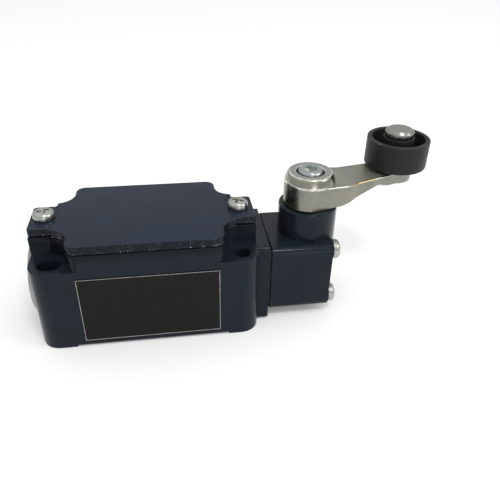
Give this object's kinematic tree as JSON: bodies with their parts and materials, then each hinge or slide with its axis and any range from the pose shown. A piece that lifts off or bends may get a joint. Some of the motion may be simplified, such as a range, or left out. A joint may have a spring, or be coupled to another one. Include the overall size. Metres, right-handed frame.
{
  "type": "limit switch",
  "caption": "Limit switch: die-cast housing with screwed cover and cable entry, and an operating head whose sprung roller lever drives a plunger and switch contacts.",
  "frame": {"origin": "centre of the mounting-hole pattern on the back face of the housing", "axes": "+X from the cable entry towards the operating head, +Z out of the cover, away from the mounting surface"},
  "size_m": [0.1374, 0.0413, 0.0597],
  "materials": {
    "enamel": "semi-gloss dark navy stoving enamel on die-cast aluminium",
    "plate": "satin black rating plate, unprinted",
    "zinc": "zinc-plated steel",
    "plated_diecast": "plated zinc die-casting, satin",
    "steel": "bright turned or drawn steel",
    "bronze": "sintered bronze",
    "brass": "bright brass",
    "contact_silver": "silver-plated copper alloy",
    "rubber": "black nitrile",
    "roller_plastic": "black moulded nylon",
    "insert_plastic": "dark moulded thermoset",
    "carrier_plastic": "ivory moulded nylon"
  },
  "bodies": {
    "body": {"housing": "enamel", "rating_plate": "plate", "cover_gasket": "rubber", "head": "enamel", "head_gasket": "rubber", "head_screw_1": "zinc", "head_screw_2": "zinc", "head_screw_3": "zinc", "head_screw_4": "zinc", "shaft_bush": "bronze", "shaft_seal": "rubber", "plunger_guide": "brass", "plunger_seal": "rubber", "plunger_spring": "steel", "contact_base": "insert_plastic", "contact_lid": "carrier_plastic", "carrier_spring": "steel", "fixed_contact_1": "brass", "fixed_contact_2": "brass", "fixed_contact_3": "brass", "fixed_contact_4": "brass", "terminal_clamp_1": "zinc", "terminal_clamp_2": "zinc", "terminal_clamp_3": "zinc", "terminal_clamp_4": "zinc", "terminal_screw_1": "zinc", "terminal_screw_2": "zinc", "terminal_screw_3": "zinc", "terminal_screw_4": "zinc", "insert_screw_1": "zinc", "insert_screw_2": "zinc", "earth_clamp": "brass", "earth_screw": "brass"},
    "cover": {"cover": "enamel", "cover_screw_1": "zinc", "cover_screw_2": "zinc"},
    "lever": {"lever_arm": "plated_diecast", "lever_screw": "zinc", "lever_washer": "steel", "roller_pin": "zinc", "roller_washer": "steel", "shaft": "steel", "shaft_clip": "steel", "cam": "steel", "cam_pin": "steel"},
    "roller": {"roller": "roller_plastic"},
    "plunger": {"plunger": "steel", "contact_carrier": "carrier_plastic", "contact_bridge_1": "contact_silver", "contact_bridge_2": "contact_silver", "contact_spring_1": "steel", "contact_spring_2": "steel"}
  },
  "joints": [
    {"name": "lever_swing", "type": "hinge", "parent": "body", "child": "lever", "pos_m": [0.0546, 0, 0.0387], "axis": [0, 0, 1], "range_deg": [-75, 75], "stiffness_Nm_per_rad": 0.15},
    {"name": "roller_spin", "type": "hinge", "parent": "lever", "child": "roller", "pos_m": [0.0883, 0.01017, 0.052], "axis": [0, 0, 1], "continuous": true},
    {"name": "plunger_slide", "type": "slide", "parent": "body", "child": "plunger", "axis": [-1, 0, 0], "range_m": [-0.0015, 0.0015], "deforming": ["plunger_spring", "carrier_spring"]},
    {"name": "cover_lift", "type": "slide", "parent": "body", "child": "cover", "axis": [0, 0, 1], "range_m": [0, 0.04]}
  ],
  "couplings": [
    {"joint": "plunger_slide", "follows": "lever_swing", "m_per_rad": 0.0010695}
  ]
}
